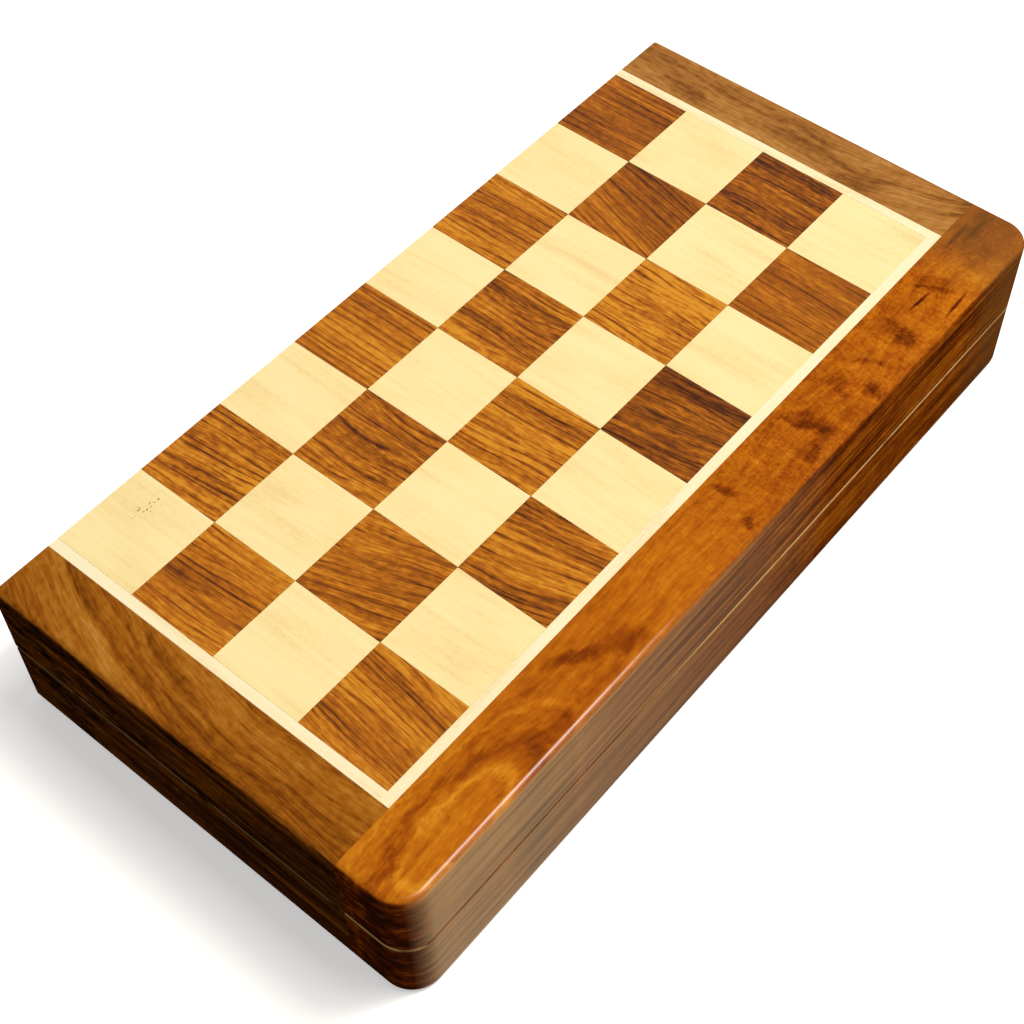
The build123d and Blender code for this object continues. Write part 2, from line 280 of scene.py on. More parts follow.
def sheesham(wood, place, tone, strength=1.0, bend=1.0, line_spacing=2.1 * mm, line_depth=0.25):
    """The figure of sheesham, from 0, near black, to 1, pale gold, with its threads and pores."""
    sway = 12 * mm
    wander = fibres(wood, place, 14 * mm, 45 * mm, Detail=1.0)
    swing = multiplied(wood, add_up(wood, -0.5, (wander, 1.0)), bend)
    swung = {0: (sway, 0, sway), "Scale": swing}
    aside = add_node(wood, "VectorMath", swung, operation="SCALE")
    bent = add_node(wood, "VectorMath", (place, aside), operation="ADD")
    bands = fibres(wood, bent, 7 * mm, 130 * mm, Detail=1.0)
    streaks = fibres(wood, bent, 1.3 * mm, 60 * mm, Detail=1.5, Roughness=0.5)
    threads = fibres(wood, bent, 0.45 * mm, 6 * mm, Detail=1.0, Roughness=0.6)
    mottle = fibres(wood, bent, 1.6 * mm, 2.6 * mm, Detail=1.5)
    # Dark lines at nearly even spacing, fainter where a streak is pale.
    across = add_node(wood, "SeparateXYZ", (bent,), give="X")
    uneven = fibres(wood, bent, 5 * mm, 80 * mm, Detail=1.0)
    turns = 2 * pi / line_spacing
    phase = add_up(wood, 0.0, (across, turns), (uneven, 6 * mm * turns))
    wave = add_node(wood, "Math", (phase,), operation="SINE")
    line = add_node(wood, "MapRange", (wave, 0.2, 1.0, 0.0, -line_depth))
    faint = add_node(wood, "MapRange", (streaks, 0.35, 0.6, 1.2, 0.25))
    lines = multiplied(wood, line, faint)
    parts = ((bands, 0.8), (streaks, 0.55), (threads, 0.6), (mottle, 0.35))
    spread = add_up(wood, -0.5 * sum(weight for _, weight in parts), *parts, (lines, 1.0))
    value = add_up(wood, 0.58, (spread, strength), (tone, 1.0))
    pores = fibres(wood, bent, 0.9 * mm, 4 * mm, "TexVoronoi", "Distance")
    return value, threads, pores


def dress(material, relief, depth, strength, surface):
    """Gives a material its surface, over a fine relief of some depth."""
    raised = {"Height": relief, "Distance": depth, "Strength": strength}
    surface = {"Normal": add_node(material, "Bump", raised), **surface}
    shown = add_node(material, "BsdfPrincipled", surface)
    add_node(material, "OutputMaterial", {"Surface": shown})


def lacquer(wood, colour, threads, pores, **surface):
    """A satin lacquer over a wood. It sinks a little into the pores, which stay dark."""
    open_pores = add_node(wood, "MapRange", (pores, 0.04, 0.2, 0.75, 1.0))
    tint = {"Factor": 1.0, "A": colour, "B": open_pores}
    darkened = add_node(wood, "Mix", tint, data_type="RGBA", blend_type="MULTIPLY")
    relief = add_up(wood, 0.0, (threads, 0.5), (open_pores, 0.5))
    surface = {"Base Color": darkened, "Roughness": 0.24, "Specular IOR Level": 0.1, **surface}
    dress(wood, relief, 0.012 * mm, 0.5, surface)


def inside_oval(wood, at, middle, half_length, half_width, lean=0.0):
    """How far a place is from the middle of an oval, which is 0, to its rim, which is 1."""
    oval = {"Vector": at, "Location": (*middle, 0), "Rotation": (0, 0, lean)}
    oval["Scale"] = (half_length, half_width, 1)
    inside = add_node(wood, "Mapping", oval, vector_type="TEXTURE")
    return add_node(wood, "VectorMath", (inside,), give="Value", operation="LENGTH")


def mark(wood, at, middle, half_length, half_width, lean, depth):
    """One soft mark in a figure. Its sizes are in millimetres and its lean in degrees from X."""
    x, y = middle
    size = (half_length * mm, half_width * mm)
    distance = inside_oval(wood, at, (x * mm, y * mm), *size, radians(lean))
    soft = {"interpolation_type": "SMOOTHSTEP"}
    return add_node(wood, "MapRange", (distance, 0.25, 1.0, depth, 0.0), **soft)


def ragged(wood, at, flow, reach):
    """The place, pushed about by noise, so that a mark drawn on it has ragged edges."""
    noise = fibres(wood, flow, 2.2 * mm, 7 * mm, give="Color", Detail=5.0, Roughness=0.68)
    centred = add_node(wood, "VectorMath", (noise, (0.5, 0.5, 0.5)), operation="SUBTRACT")
    push = add_node(wood, "VectorMath", {0: centred, "Scale": reach}, operation="SCALE")
    return add_node(wood, "VectorMath", (at, push), operation="ADD")


def nested_arches(wood, at):
    """The arches in the front border near its left end, open to the left."""
    middle = (-125 * mm, front + 6.2 * mm)
    distance = inside_oval(wood, at, middle, half_length=33 * mm, half_width=11.5 * mm)
    greys = ("BEBEBE", "B2B2B2", "DCDCDC", "B0B0B0", "686868", "A4A4A4", "989898", "C4C4C4", "A8A8A8")
    rings = zip((0.10, 0.26, 0.31, 0.36, 0.47, 0.56, 0.66, 0.70, 0.76), greys)
    ring = add_node(wood, "ValToRGB", (multiplied(wood, distance, 0.5),), stops=rings)
    return add_up(wood, -0.24, (ring, 0.6))


def curl(wood, x, flow):
    """The reddish mottled curl of the front border's right half."""
    blotches = fibres(wood, flow, 5 * mm, 7 * mm, Detail=3.0, Roughness=0.6)
    specks = fibres(wood, flow, 0.7 * mm, 1.1 * mm, Detail=3.0, Roughness=0.7, Distortion=1.0)
    mottled = add_up(wood, -0.49, (blotches, 0.4), (specks, 0.5))
    here = add_node(wood, "MapRange", (x, -30 * mm, 15 * mm, 0.2, 1.0))
    return multiplied(wood, mottled, here)


def grain_place(wood, at, turn, shift, spread, bow, bow_start):
    """Where each point of a border lies in its log. Past the start of the bow, the grain bends."""
    y = add_node(wood, "SeparateXYZ", (at,), give="Y")
    side = "MINIMUM" if bow < 0 else "MAXIMUM"
    beyond = add_up(wood, -bow_start, (y, 1.0))
    past = add_node(wood, "Math", (beyond, 0.0), operation=side)
    aside = add_up(wood, 0.0, (multiplied(wood, past, past), -abs(bow)))
    aside = add_node(wood, "CombineXYZ", {"X": aside})
    bowed = add_node(wood, "VectorMath", (at, aside), operation="ADD")
    laid = {"Vector": bowed, "Location": shift, "Rotation": (0, 0, radians(turn)), "Scale": spread}
    return add_node(wood, "Mapping", laid)


tone_steps = (0.05, 0.25, 0.42, 0.58, 0.76, 1.0)  # where the six colours of a border stand


# Sheesham for the borders: sawn across its rings, so that golden and dark streaks run along the bar,
# then planed and lacquered satin. Below the playing face the golden top gives way to darker sides,
# partly the wood's own tone and partly painted shade.
def rail_wood(
    name,
    colours,
    side_tone,
    strength,
    turn=0,
    shift=(0, 0, 0),
    spread=(1, 1, 1),
    bow=0.0,
    bow_start=0.0,
    figure=(),
    arches=False,
    rim_shown=0.8,
    hazed=0.0,
    side_streaks=0.7,
):
    """Sheesham of a border, with its marks, its darker sides and its rubbed rims."""
    wood = new_material(name)
    at = add_node(wood, "TexCoord", give="Object")
    x, _, z = add_node(wood, "SeparateXYZ", (at,)).node.outputs
    place = grain_place(wood, at, turn, shift, spread, bow, bow_start)

    # Masks: below the golden top, where the darker sides with their painted shade begin, on the rims
    # where the halves meet, and on the outer faces.
    top = closed_height / 2
    from_middle = add_up(wood, -top, (z, 1.0))
    reach = add_node(wood, "Math", (from_middle,), operation="ABSOLUTE")
    below = add_node(wood, "MapRange", (reach, top - 1.2 * mm, top - 0.6 * mm, 1.0, 0.0))
    rim = add_node(wood, "MapRange", (reach, 0.6 * mm, 0.9 * mm, 1.0, 0.0))
    off_rim = add_up(wood, 1.0, (rim, -1.0))
    normal = add_node(wood, "TexCoord", give="Normal")
    facing = add_node(wood, "VectorMath", (at, normal), operation="MULTIPLY")
    level = {0: facing, 1: (1, 1, 0)}
    outward = add_node(wood, "VectorMath", level, give="Value", operation="DOT_PRODUCT")
    outer = add_node(wood, "MapRange", (outward, 20 * mm, 40 * mm, 0.0, 1.0))
    groove = multiplied(wood, rim, outer)

    # The sides are darker and show their layers, most of all in the upper half; the darker tone is
    # partly the wood's own and partly painted shade. The foot and the groove between the halves get
    # painted shade.
    if hazed:
        # Painted shade on the rounded ends of the front bar.
        from_centre = add_node(wood, "Math", (x,), operation="ABSOLUTE")
        near_end = (from_centre, end - 9 * mm, end, side_tone, -0.4)
        shaded = add_node(wood, "MapRange", near_end)
    else:
        shaded = side_tone
    layers = fibres(wood, place, 2.5 * mm, 70 * mm, Detail=2.0, Roughness=0.5)
    halves_apart = (from_middle, -0.1 * mm, 0.1 * mm, 0.6 * side_streaks, side_streaks)
    plainer = add_node(wood, "MapRange", halves_apart)
    layered = add_up(wood, shaded, (add_up(wood, -0.5, (layers, 1.0)), plainer))
    kept = add_node(wood, "Math", (off_rim, outer), operation="MAXIMUM")
    # Painted shade along the foot of the outer faces and in the groove between the halves.
    foot = add_node(wood, "MapRange", (z, 0.2 * mm, 1.6 * mm, -0.4, 0.0))
    tone = add_up(wood, multiplied(wood, layered, below, kept), (foot, outer), (groove, -0.25))

    rough_place = ragged(wood, at, place, 8 * mm)
    fine_place = ragged(wood, at, place, 1.5 * mm)
    fine_width = 1.5  # in millimetres, as the marks are
    for drawn in figure:
        marked_place = fine_place if min(drawn[1:3]) < fine_width else rough_place
        tone = add_up(wood, tone, (mark(wood, marked_place, *drawn), 1.0))
    if arches:
        arched, curled = nested_arches(wood, rough_place), curl(wood, x, place)
        tone = add_up(wood, tone, (arched, 1.0), (curled, 1.0))
    flame = {"bend": 0.4, "line_spacing": 4.5 * mm, "line_depth": 0.12}
    value, threads, pores = sheesham(wood, place, tone, strength, **flame)
    colour = add_node(wood, "ValToRGB", (value,), stops=zip(tone_steps, colours))

    # Along the rims' outer edges, a pale line in broken stretches is a painted highlight of the eased
    # parting edges.
    # On the front the side is milky from the left corner to the middle: the coat is thicker there, and
    # a pale tint there is a painted reflection.
    rim_highlight_breaks = fibres(wood, place, 3 * mm, 16 * mm, Detail=2.0)
    painted_rim_highlight = add_node(wood, "MapRange", (rim_highlight_breaks, 0.28, 0.4, 0.0, rim_shown))
    painted_rim_highlight = multiplied(wood, painted_rim_highlight, groove)
    surface = {"Specular IOR Level": 0.0, "Coat Roughness": 0.3, "Coat Weight": 0.0}
    tints = []
    if hazed:
        past_corner = add_node(wood, "MapRange", (x, -149 * mm, -141 * mm, 0.0, 1.0))
        fading = add_node(wood, "MapRange", (x, -135 * mm, 40 * mm, 1.0, 0.0))
        painted_haze_and_coat = multiplied(wood, past_corner, fading, below)
        rim_highlight_share = add_node(wood, "MapRange", (painted_haze_and_coat, 0.35, 0.6, 1.0, 0.1))
        haze_streaks = add_node(wood, "MapRange", (layers, 0.3, 0.7, 0.4, 0.95))
        # At its right end the bar passes into smoky heartwood.
        smoky = add_node(wood, "MapRange", (x, 112 * mm, 134 * mm, 0.0, 0.55))
        painted_rim_highlight = multiplied(wood, painted_rim_highlight, rim_highlight_share)
        # The pale tint over the milky part is a painted reflection, streaked along the layers.
        tints = [(multiplied(wood, painted_haze_and_coat, haze_streaks, off_rim), "D6AE76"), (smoky, "82582C")]
        # The lacquer is thick on the upper rounded edge near the left corner, and thin elsewhere.
        over_edge = (from_middle, top - 0.9 * mm, top - 0.4 * mm, 0.0, 1.0)
        over = add_node(wood, "MapRange", over_edge)
        below_face = (reach, top - 0.06 * mm, top - 0.01 * mm, 1.0, 0.0)
        on_top = add_node(wood, "MapRange", below_face)
        to_right = add_node(wood, "MapRange", (x, -75 * mm, -35 * mm, 1.0, 0.03))
        thick = multiplied(wood, over, on_top, to_right, past_corner)
        surface["Coat Weight"] = add_up(wood, 0.0, (painted_haze_and_coat, hazed), (thick, 1.0))
    # Colours laid over the wood: F4C680 is the painted rim highlight, D6AE76 the painted reflection and
    # 82582C the smoky heartwood.
    for share, code in [(painted_rim_highlight, "F4C680"), *tints]:
        tint = {"Factor": share, "A": colour, "B": linear(code)}
        colour = add_node(wood, "Mix", tint, data_type="RGBA")
    lacquer(wood, colour, threads, pores, **surface)
    return wood


border_colours = ("3A1809", "70300A", "9C4C0E", "BE6A14", "DA8E22", "EAAC44")
# The marks in the front border: middle, half length, half width, lean and depth. The middles are
# measured along the bar from its centre, and up from its front edge.
front_marks = (
    ((-141, 12), 12, 2.6, 8, -0.2),
    ((-66, 14.5), 14, 3.0, -32, -0.2),
    ((-53, 7.5), 8, 5.0, -20, -0.16),
    ((-0.5, 5.2), 3.5, 3.0, 0, -0.26),
    ((4.5, 16.5), 2.6, 7.0, 4, -0.2),
    ((39, 13.5), 1.6, 11.0, 22, -0.12),
    ((41, 12.5), 5.0, 12.0, 22, -0.17),
    ((32, 4.5), 5.0, 3.4, 0, -0.22),
    ((59, 13.5), 6.5, 7.0, 0, -0.16),
    ((63, 5.0), 4.5, 4.0, 0, -0.2),
    ((72, 11.5), 1.8, 10.0, 28, -0.16),
    ((90, 13.0), 1.6, 9.0, 4, -0.14),
    ((87, 9.0), 5.0, 8.0, 4, -0.18),
    ((103, 13.2), 7.0, 0.9, -2, -0.42),
    ((110, 12.5), 1.6, 10.0, 24, -0.24),
    ((114, 13.5), 4.5, 11.0, 24, -0.14),
    ((109, 3.6), 10.0, 0.9, 2, -0.42),
    ((143, 12.0), 22.0, 16.0, 0, -0.12),
    ((135, 19.5), 9.0, 1.2, 0, -0.3),
    ((141, 16.0), 9.0, 1.2, -2, -0.3),
)
front_wood = rail_wood(
    "lacquered sheesham front border",
    border_colours,
    side_tone=-0.16,
    strength=0.42,
    turn=90,
    spread=(1, 0.42, 1),
    figure=[((x, front / mm + up), *rest) for (x, up), *rest in front_marks],
    arches=True,
    hazed=0.35,
    side_streaks=1.1,
)


def front_rail():
    """The bar across the front of the lower half."""
    shape = block((-end, front, 0), (end, inner_front, half_height))
    at_face, at_rim = (edges_at(shape, 2, z) for z in (0, half_height))
    ease(shape, edges_at(shape, 1, front) - at_face - at_rim, corner_radius, 12)
    ease(shape, edges_at(shape, 2, 0) - edges_at(shape, 1, inner_front), edge_radius, 6)
    ease(shape, edges_at(shape, 2, half_height) - edges_at(shape, 1, inner_front), rim_easing, 1)
    past = inner_front + spare
    tools = [
        block((-hollow_end, front + wall, core_high.z), (hollow_end, past, half_height + spare)),
        block((core_low.x, core_low.y, core_low.z), (core_high.x, past, core_high.z + spare)),
    ]
    play = Vector((magnet_play, magnet_play, 0))
    for x in (magnet_low.x, magnet_high.x - magnet_length):
        pocket_low = Vector((x, magnet_low.y, magnet_low.z))
        pocket_high = Vector((x + magnet_length, magnet_high.y, half_height + spare))
        tools.append(block(pocket_low - play, pocket_high + play))
    return combine(shape, tools)


for half in halves:
    nodes = [f"{half}_front_rail"]
    finish(front_rail(), half, f"{half}_front_border", [front_wood], nodes, arris)

# End rails. They are short bars of the same wood, which butt against the front rail and run to
# the hinge edge. The left ones are brown and flamed, and the right ones smoky and blotchy.
end_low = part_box("lower_right_end_rail")[0].x
left_colours = ("1E0F07", "54290A", "7C430E", "9E5C17", "B47628", "C89450")
right_colours = ("26140A", "5A3414", "845226", "A87036", "BE8A4A", "D0A460")
left_marks = (
    ((-131, -22), 4.0, 34.0, 0, -0.14),
    ((-136, 22), 4.5, 22.0, -14, -0.1),
    ((-134, 58), 3.5, 20.0, -24, -0.1),
    ((-145, 40), 3.5, 20.0, -24, 0.08),
)
right_marks = (
    ((136, 52), 6.0, 18.0, -8, -0.16),
    ((142, 8), 7.0, 22.0, 0, -0.14),
    ((133, -18), 4.0, 14.0, 10, -0.12),
    ((142, -38), 9.0, 16.0, 20, 0.12),
)
# Their outer faces are darker by the side tone, partly the wood's own and partly painted shade, most on
# the left.
end_woods = {
    "left": rail_wood(
        "lacquered sheesham left border",
        left_colours,
        side_tone=-0.35,
        strength=0.7,
        shift=(0.31, 0.12, 0),
        spread=(0.6, 1, 1),
        bow=2.6,
        bow_start=-20 * mm,
        figure=left_marks,
        rim_shown=0.25,
    ),
    "right": rail_wood(
        "lacquered sheesham right border",
        right_colours,
        side_tone=-0.3,
        strength=0.62,
        shift=(0.73, 0.4, 0),
        spread=(0.6, 1, 1),
        bow=-4.0,
        figure=right_marks,
    ),
}


def end_rail(side_name):
    """One end bar of the lower half."""
    shape = block((end_low, inner_front, 0), (end, back, half_height))
    outer = edges_at(shape, 0, end)
    rim_edge = outer & edges_at(shape, 2, half_height)
    ease(shape, outer & edges_at(shape, 2, 0), edge_radius, 6)
    ease(shape, rim_edge, rim_easing, 1)
    inside, past, before = end_low - spare, back + spare, inner_front - spare
    tools = [
        block((inside, before, core_high.z), (hollow_end, past, half_height + spare)),
        block((inside, before, core_low.z), (core_high.x, past, core_high.z + spare)),
    ]
    shape = combine(shape, tools)
    if side_name == "left":
        bmesh.ops.scale(shape, vec=(-1, 1, 1), verts=shape.verts)
        bmesh.ops.reverse_faces(shape, faces=shape.faces)
    return shape


for half in halves:
    for side_name, wood in end_woods.items():
        name, nodes = f"{half}_{side_name}_border", [f"{half}_{side_name}_end_rail"]
        finish(end_rail(side_name), half, name, [wood], nodes, arris)

# Hinge rails. Each is a plain sheesham wall glued between the end rails along the hinge edge,
# let in for the two leaves and hollowed for their knuckles.
hinge_rail_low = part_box("lower_hinge_rail")[0]
joint_place = Vector(frame["joints"][0]["pos_m"])
leaf_boxes = {name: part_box(f"lower_{name}_hinge_leaf") for name in ("left", "right")}
leaf_thickness = 1 * mm
knuckle_radius = leaf_boxes["left"][1].y - joint_place.y
knuckle_gap = 0.3 * mm
leaf_clearance = 0.15 * mm
wall_wood = rail_wood(
    "lacquered sheesham hinge wall",
    left_colours,
    side_tone=0.0,
    strength=0.7,
    turn=90,
    shift=(0.1, 0.9, 0),
)


def rod(radius, start, stop, centre, segments=32):
    """A round rod along X between two places."""
    shape = bmesh.new()
    middle = ((start + stop) / 2, centre.y, centre.z)
    round_bar = {"segments": segments, "radius1": radius, "radius2": radius, "depth": stop - start}
    place = Matrix.Translation(middle) @ Matrix.Rotation(pi / 2, 4, "Y")
    bmesh.ops.create_cone(shape, cap_ends=True, matrix=place, **round_bar)
    return shape


def hinge_rail():
    """The wall along the hinge edge of the lower half."""
    wall_shape = block((-hollow_end, hinge_rail_low.y, core_high.z), (hollow_end, back, half_height))
    lap_shape = block((core_low.x, core_high.y, core_low.z), (core_high.x, back, core_high.z + spare))
    shape = combine(wall_shape, [lap_shape], "UNION")
    tools = []
    for leaf_low, leaf_high in leaf_boxes.values():
        start, stop = leaf_low.x - leaf_clearance, leaf_high.x + leaf_clearance
        bed = (start, leaf_low.y - leaf_clearance, half_height - leaf_thickness)
        tools.append(block(bed, (stop, back + spare, half_height + spare)))
        tools.append(rod(knuckle_radius + knuckle_gap, start, stop, joint_place))
    return combine(shape, tools)


for half in halves:
    nodes = [f"{half}_hinge_rail"]
    finish(hinge_rail(), half, f"{half}_hinge_wall", [wall_wood], nodes, arris)

# Core panels. Three-ply birch board, 4 mm thick, glued into the rebates of the borders. Rotary-cut
# veneer gives its faces a pale broad figure, dull and bare of lacquer.
plywood = new_material("birch plywood")
at = add_node(plywood, "TexCoord", give="Object")
face_grain = fibres(plywood, at, 9 * mm, 120 * mm, Detail=3.0, Distortion=0.6)
fleck = fibres(plywood, at, 0.7 * mm, 6 * mm, Detail=2.0)
ply_value = add_up(plywood, -0.25, (face_grain, 1.1), (fleck, 0.4))
ply_stops = ((0.3, "B98F5E"), (0.55, "D3AE7C"), (0.75, "E2C598"))
ply_colour = add_node(plywood, "ValToRGB", (ply_value,), stops=ply_stops)
dress(plywood, fleck, 0.03 * mm, 1.0, {"Base Color": ply_colour, "Roughness": 0.75})
for half in halves:
    core_mesh = frame["nodes"][f"{half}_core_panel"].data
    core_mesh.materials.clear()
    core_mesh.materials.append(plywood)

# Dark squares. Slips of sheesham veneer 1.5 mm thick, glued edge to edge with the light ones.
# Each was sawn from another board, so its tone, streaks and lean are its own.
columns, rows = 8, 4
square = 32 * mm
hinge_row = back - (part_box("lower_front_stringing")[1].y + (rows - 1) * square)
square_gap = 0.06 * mm
slip_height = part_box("lower_dark_squares")[1].z
tile_easing = 0.09 * mm

# A cut gives the tone, the strength of the streaks and how far they wander.
cuts = {
    "heavy": (-0.02, 1.25, 0.5),
    "fine": (0.03, 0.8, 0.15),
    "golden": (0.12, 1.1, 0.6),
    "amber": (0.03, 0.9, 0.4),
    "red": (-0.13, 0.8, 0.3),
    "wavy": (-0.05, 1.0, 0.9),
    "mottled": (-0.12, 1.15, 0.6),
    "banded": (-0.03, 1.0, 0.7),
    "deep": (-0.2, 1.05, 0.6),
}
# The cut of each dark square, by column and row from the hinge, and its lean to the left in degrees.
veneers = {
    (1, 0): ("heavy", 3),
    (3, 0): ("fine", 0),
    (5, 0): ("amber", 0),
    (7, 0): ("red", 0),
    (0, 1): ("amber", 2),
    (2, 1): ("banded", 0),
    (4, 1): ("wavy", 0),
    (6, 1): ("red", -15),
    (1, 2): ("banded", 17),
    (3, 2): ("golden", 3),
    (5, 2): ("golden", 0),
    (7, 2): ("mottled", 0),
    (0, 3): ("amber", -6),
    (2, 3): ("banded", 12),
    (4, 3): ("deep", 8),
    (6, 3): ("red", -3),
}


def square_of(place):
    """The column and the row, counted from the hinge, of a point on the board."""
    column = floor(place.x / square + columns / 2)
    row = 0 if place.y > back - hinge_row else 1 + floor((back - hinge_row - place.y) / square)
    return column, row


def middle_of(column, row):
    """The middle of a square."""
    x = (column + 0.5 - columns / 2) * square
    y = back - hinge_row / 2 if row == 0 else back - hinge_row - (row - 0.5) * square
    return Vector((x, y, slip_height / 2))


def squares(half, colour):
    """All the squares of one colour in a half, drawn for the lower half."""
    shape = bmesh.new()
    odd = (half == "upper") == (colour == "dark")
    for column in range(columns):
        for row in range(rows):
            if (column + row) % 2 == odd:
                depth = square if row else hinge_row
                reach = Vector((square - square_gap, depth - square_gap, slip_height)) / 2
                block(middle_of(column, row) - reach, middle_of(column, row) + reach, shape)
    ease(shape, shape.edges, tile_easing, 1)
    return shape


def lay_grain(shape, lean_at):
    """Gives each square its own stretch of veneer, turned by its lean, as coordinates on the mesh."""
    next_column, next_row, next_depth = 70 * mm, 190 * mm, 40 * mm
    grain = shape.verts.layers.float_vector.new("veneer")
    for vert in shape.verts:
        column, row = square_of(vert.co)
        from_middle = vert.co - middle_of(column, row)
        lean = radians(lean_at(column, row))
        across = from_middle.x * cos(lean) + from_middle.y * sin(lean)
        along = from_middle.y * cos(lean) - from_middle.x * sin(lean)
        stretch = Vector((column * next_column, row * next_row, (column + row) * next_depth))
        vert[grain] = Vector((across, along, vert.co.z)) + stretch


def dark_squares(half):
    """The dark squares of a half, with what each one's cut gives its wood."""

    def veneer_at(column, row):
        """A square's cut and lean. The lower board is the upper one turned end for end."""
        return veneers[column if half == "upper" else columns - 1 - column, row]

    shape = squares(half, "dark")
    lay_grain(shape, lambda column, row: veneer_at(column, row)[1])
    for i, name in enumerate(("tone", "streak", "wander")):
        layer = shape.verts.layers.float.new(name)
        for vert in shape.verts:
            cut, _ = veneer_at(*square_of(vert.co))
            vert[layer] = cuts[cut][i]
    return shape


# Sheesham for the squares: brown to gold, with close dark lines. The mesh says where in the log
# each square was cut, and so which figure and tone it has.
dark_wood = new_material("lacquered sheesham veneer")
veneer_place = add_node(dark_wood, "Attribute", give="Vector", attribute_name="veneer")
tone, streak, wander = (
    add_node(dark_wood, "Attribute", give="Fac", attribute_name=name)
    for name in ("tone", "streak", "wander")
)
dark_value, dark_threads, dark_pores = sheesham(dark_wood, veneer_place, tone, streak, wander)
dark_stops = ((0.02, "451E06"), (0.25, "733B0A"), (0.44, "9B540D"), (0.60, "BC6E17"), (0.80, "DA9228"))
dark_colour = add_node(dark_wood, "ValToRGB", (dark_value,), stops=dark_stops)
lacquer(dark_wood, dark_colour, dark_threads, dark_pores)
for half in halves:
    nodes = [f"{half}_dark_squares"]
    finish(dark_squares(half), half, f"{half}_sheesham_squares", [dark_wood], nodes)

# Light squares and stringing. Maple veneer, close and nearly plain, with a faint straight grain
# and silky flecks. The stringing is the same wood, and its front line runs past the side ones.
veneer_stops = ((0.2, "F2D296"), (0.42, "FCE4A4"), (0.62, "FFEBB0"))
string_stops = ((0.2, "F4DAA6"), (0.42, "FDEDC0"), (0.62, "FFF3CC"))


def scuff(wood, colour):
    """Small grey scuffs in the lacquer near the left end of the hinge edge, on the upper board."""
    at = add_node(wood, "TexCoord", give="Object")
    to_middle = (105 * mm, -64 * mm, -closed_height)
    moved = add_node(wood, "VectorMath", (at, to_middle), operation="ADD")
    shares = (1 / (9 * mm), 1 / (4.5 * mm), 1 / (4 * mm))
    scaled = add_node(wood, "VectorMath", (moved, shares), operation="MULTIPLY")
    distance = add_node(wood, "VectorMath", (scaled,), give="Value", operation="LENGTH")
    specks = add_node(wood, "TexNoise", {"Vector": at, "Scale": 1 / (0.8 * mm), "Detail": 2.0})
    inside = add_node(wood, "MapRange", (distance, 0.3, 1.0, 0.16, 0.0))
    denser = add_up(wood, 0.0, (specks, 1.0), (inside, 1.0))
    marked = add_node(wood, "MapRange", (denser, 0.74, 0.8, 0.0, 1.0))
    near = add_node(wood, "MapRange", (distance, 0.9, 1.1, 1.0, 0.0))
    tint = {"Factor": multiplied(wood, marked, near), "A": colour, "B": linear("96865E")}
    return add_node(wood, "Mix", tint, data_type="RGBA")


def maple(name, stops, grain_turn=None, scuffed=False):
    """Lacquered maple. Its grain is turned from Y by some degrees, or lies as the mesh says."""
    wood = new_material(name)
    if grain_turn is None:
        place = add_node(wood, "Attribute", give="Vector", attribute_name="veneer")
    else:
        at = add_node(wood, "TexCoord", give="Object")
        turned_grain = {"Vector": at, "Rotation": (0, 0, radians(grain_turn))}
        place = add_node(wood, "Mapping", turned_grain)
    cloud = fibres(wood, place, 12 * mm, 40 * mm, Detail=2.0, Distortion=0.4)
    streaks = fibres(wood, place, 1.8 * mm, 40 * mm, Detail=2.0)
    flecks = fibres(wood, place, 0.5 * mm, 2.2 * mm, Detail=1.0)
    value = add_up(wood, -0.3, (cloud, 0.7), (streaks, 0.55), (flecks, 0.35))
    colour = add_node(wood, "ValToRGB", (value,), stops=stops)
    if scuffed:
        colour = scuff(wood, colour)
    surface = {"Base Color": colour, "Roughness": 0.3, "Specular IOR Level": 0.12}
    dress(wood, streaks, 0.01 * mm, 0.3, surface)
    return wood


light_wood = maple("lacquered maple veneer", veneer_stops, scuffed=True)
front_string_wood = maple("lacquered maple front stringing", string_stops, grain_turn=90)
side_string_wood = maple("lacquered maple side stringing", string_stops, grain_turn=0)
line_low, line_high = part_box("lower_front_stringing")
board_end = columns / 2 * square
for half in halves:
    light_shape = squares(half, "light")
    lay_grain(light_shape, lambda column, row: 3 * sin(5 * column + 3 * row))
    front_line = block(line_low, line_high)
    side_lines = bmesh.new()
    for start, stop in ((-line_high.x, -board_end), (board_end, line_high.x)):
        block((start, line_high.y, 0), (stop, back, slip_height), side_lines)
    for line in (front_line, side_lines):
        ease(line, line.edges, tile_easing, 1)
    for shape, name, wood, node in (
        (light_shape, "maple_squares", light_wood, "light_squares"),
        (front_line, "front_maple_line", front_string_wood, "front_stringing"),
        (side_lines, "side_maple_lines", side_string_wood, "side_stringings"),
    ):
        finish(shape, half, f"{half}_{name}", [wood], [f"{half}_{node}"])

# Magnets. Small bar magnets, pressed into pockets in the rims near the front corners, one facing
# its mate in the other half. Their nickel plate is a bright cool mirror, dulled by a fine grit.
nickel = new_material("bright nickel plate")
at = add_node(nickel, "TexCoord", give="Object")
cloud = add_node(nickel, "TexNoise", {"Vector": at, "Scale": 1 / (1.5 * mm), "Detail": 3.0})
grit = add_node(nickel, "TexNoise", {"Vector": at, "Scale": 1 / (0.15 * mm), "Detail": 1.0})
nickel_stops = ((0.35, "A8A59E"), (0.6, "C9C6BE"))
nickel_colour = add_node(nickel, "ValToRGB", (cloud,), stops=nickel_stops)
nickel_gloss = add_node(nickel, "MapRange", (cloud, 0.3, 0.7, 0.18, 0.34))
nickel_surface = {"Base Color": nickel_colour, "Roughness": nickel_gloss, "Metallic": 1.0}
dress(nickel, grit, 0.01 * mm, 0.4, nickel_surface)
magnet_easing = 0.25 * mm
